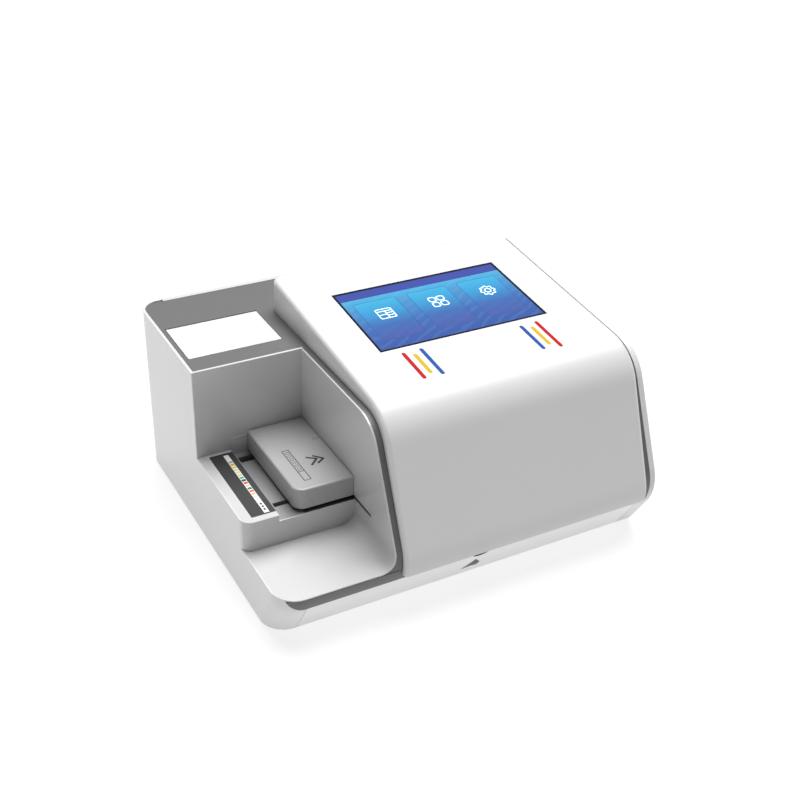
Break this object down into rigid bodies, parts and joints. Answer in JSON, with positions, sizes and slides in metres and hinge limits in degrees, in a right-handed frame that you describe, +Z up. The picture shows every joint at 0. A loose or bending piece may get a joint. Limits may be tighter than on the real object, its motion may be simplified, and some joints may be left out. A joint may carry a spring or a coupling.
{
  "type": "urine analyzer",
  "caption": "Bench-top urine strip analyzer with a tilted touch screen, open strip loading bay, lift-off hood, paper door and pull-out waste drawer.",
  "frame": {"origin": "bottom centre of the box round the whole part, on the plane the feet stand on", "axes": "+X to the right as the user faces the screen, +Y to the rear, +Z up"},
  "size_m": [0.342, 0.3044, 0.1854],
  "materials": {
    "white_shell": "satin",
    "bay_white": "glossy",
    "dark_trim": "matte",
    "chin_grey": "satin",
    "panel_grey": "matte",
    "hood_grey": "satin",
    "rear_grey": "matte",
    "pan_grey": "matte",
    "black_plastic": "matte",
    "screen_glass": "gloss",
    "foot_rubber": "matte",
    "steel": "brushed",
    "zinc_sheet": "satin",
    "bronze": "satin",
    "belt_rubber": "matte",
    "motor_can": "satin",
    "pulley_alloy": "machined",
    "lens_glass": "gloss",
    "thermal_paper": "matte",
    "roller_rubber": "matte",
    "gear_white": "satin",
    "board_green": "satin",
    "chip_black": "matte",
    "tray_grey": "matte",
    "table_white": "satin",
    "ribbon_grey": "matte"
  },
  "bodies": {
    "housing": {"left_housing": "bay_white", "inner_frame": "dark_trim", "main_cover": "white_shell", "right_shell": "white_shell", "back_panel": "rear_grey", "base_pan": "pan_grey", "feet": "foot_rubber", "base_screws": "steel", "drawer_runners": "zinc_sheet", "chassis": "zinc_sheet", "label_panel": "panel_grey", "strip_table": "table_white", "waste_chute": "zinc_sheet", "transport_frame": "zinc_sheet", "guide_rods": "steel", "drive_belt": "belt_rubber", "idler_pin": "steel", "transport_motor": "motor_can", "reader_frame": "zinc_sheet", "reader_rods": "steel", "reader_motor": "motor_can", "paper_bucket": "black_plastic", "printer_motor": "motor_can", "thermal_head": "black_plastic", "lid_pin": "steel", "touch_glass": "screen_glass", "lcd_module": "black_plastic", "display_bracket": "black_plastic", "main_board": "board_green", "board_parts": "chip_black", "standoffs": "steel", "board_screws": "steel", "power_supply": "zinc_sheet", "display_cable": "ribbon_grey", "mains_inlet": "black_plastic", "mains_pins": "steel", "switch_frame": "black_plastic", "serial_port": "steel", "network_port": "black_plastic", "usb_port": "steel"},
    "drawer": {"drawer_front": "chin_grey", "waste_tray": "tray_grey"},
    "hood": {"strip_hood": "hood_grey"},
    "carriage": {"transport_carriage": "black_plastic", "rod_bushes": "bronze"},
    "driver": {"driver_pulley": "pulley_alloy"},
    "idler": {"idler_pulley": "pulley_alloy"},
    "reader": {"reader_head": "black_plastic", "reader_lens": "lens_glass"},
    "screw": {"reader_screw": "steel"},
    "lid": {"printer_lid": "white_shell"},
    "platen": {"platen_roller": "roller_rubber"},
    "printer_drive": {"drive_gear": "gear_white"},
    "roll": {"paper_roll": "thermal_paper"},
    "rocker": {"switch_rocker": "black_plastic"}
  },
  "joints": [
    {"name": "drawer_slide", "type": "slide", "parent": "housing", "child": "drawer", "axis": [0, -1, 0], "range_m": [0, 0.17]},
    {"name": "hood_lift", "type": "slide", "parent": "housing", "child": "hood", "axis": [0, 0, 1], "range_m": [0, 0.03]},
    {"name": "carriage_slide", "type": "slide", "parent": "housing", "child": "carriage", "axis": [1, 0, 0], "range_m": [-0.036, 0.063]},
    {"name": "driver_spin", "type": "hinge", "parent": "housing", "child": "driver", "pos_m": [-0.006, 0.0738, 0.053], "axis": [0, 1, 0], "continuous": true},
    {"name": "idler_spin", "type": "hinge", "parent": "housing", "child": "idler", "pos_m": [-0.151, 0.0738, 0.053], "axis": [0, 1, 0], "continuous": true},
    {"name": "reader_slide", "type": "slide", "parent": "housing", "child": "reader", "axis": [0, 1, 0], "range_m": [-0.105, 0]},
    {"name": "screw_spin", "type": "hinge", "parent": "housing", "child": "screw", "pos_m": [-0.053, -0.0122, 0.103], "axis": [0, 1, 0], "continuous": true},
    {"name": "lid_hinge", "type": "hinge", "parent": "housing", "child": "lid", "pos_m": [-0.1245, 0.0853, 0.1514], "axis": [-1, 0, 0], "range_deg": [0, 100]},
    {"name": "platen_spin", "type": "hinge", "parent": "lid", "child": "platen", "pos_m": [-0.1267, 0.0508, 0.1465], "axis": [1, 0, 0], "continuous": true},
    {"name": "drive_spin", "type": "hinge", "parent": "housing", "child": "printer_drive", "pos_m": [-0.091, 0.0508, 0.1321], "axis": [1, 0, 0], "continuous": true},
    {"name": "roll_spin", "type": "hinge", "parent": "housing", "child": "roll", "pos_m": [-0.128, 0.07695, 0.1213], "axis": [1, 0, 0], "continuous": true},
    {"name": "rocker_tip", "type": "hinge", "parent": "housing", "child": "rocker", "pos_m": [0.079, 0.1474, 0.065], "axis": [1, 0, 0], "range_deg": [-9, 0]}
  ],
  "couplings": [
    {"joint": "driver_spin", "follows": "carriage_slide", "rad_per_m": 144.93},
    {"joint": "idler_spin", "follows": "carriage_slide", "rad_per_m": 144.93},
    {"joint": "screw_spin", "follows": "reader_slide", "rad_per_m": 628.32},
    {"joint": "drive_spin", "follows": "platen_spin", "ratio": -0.5}
  ]
}
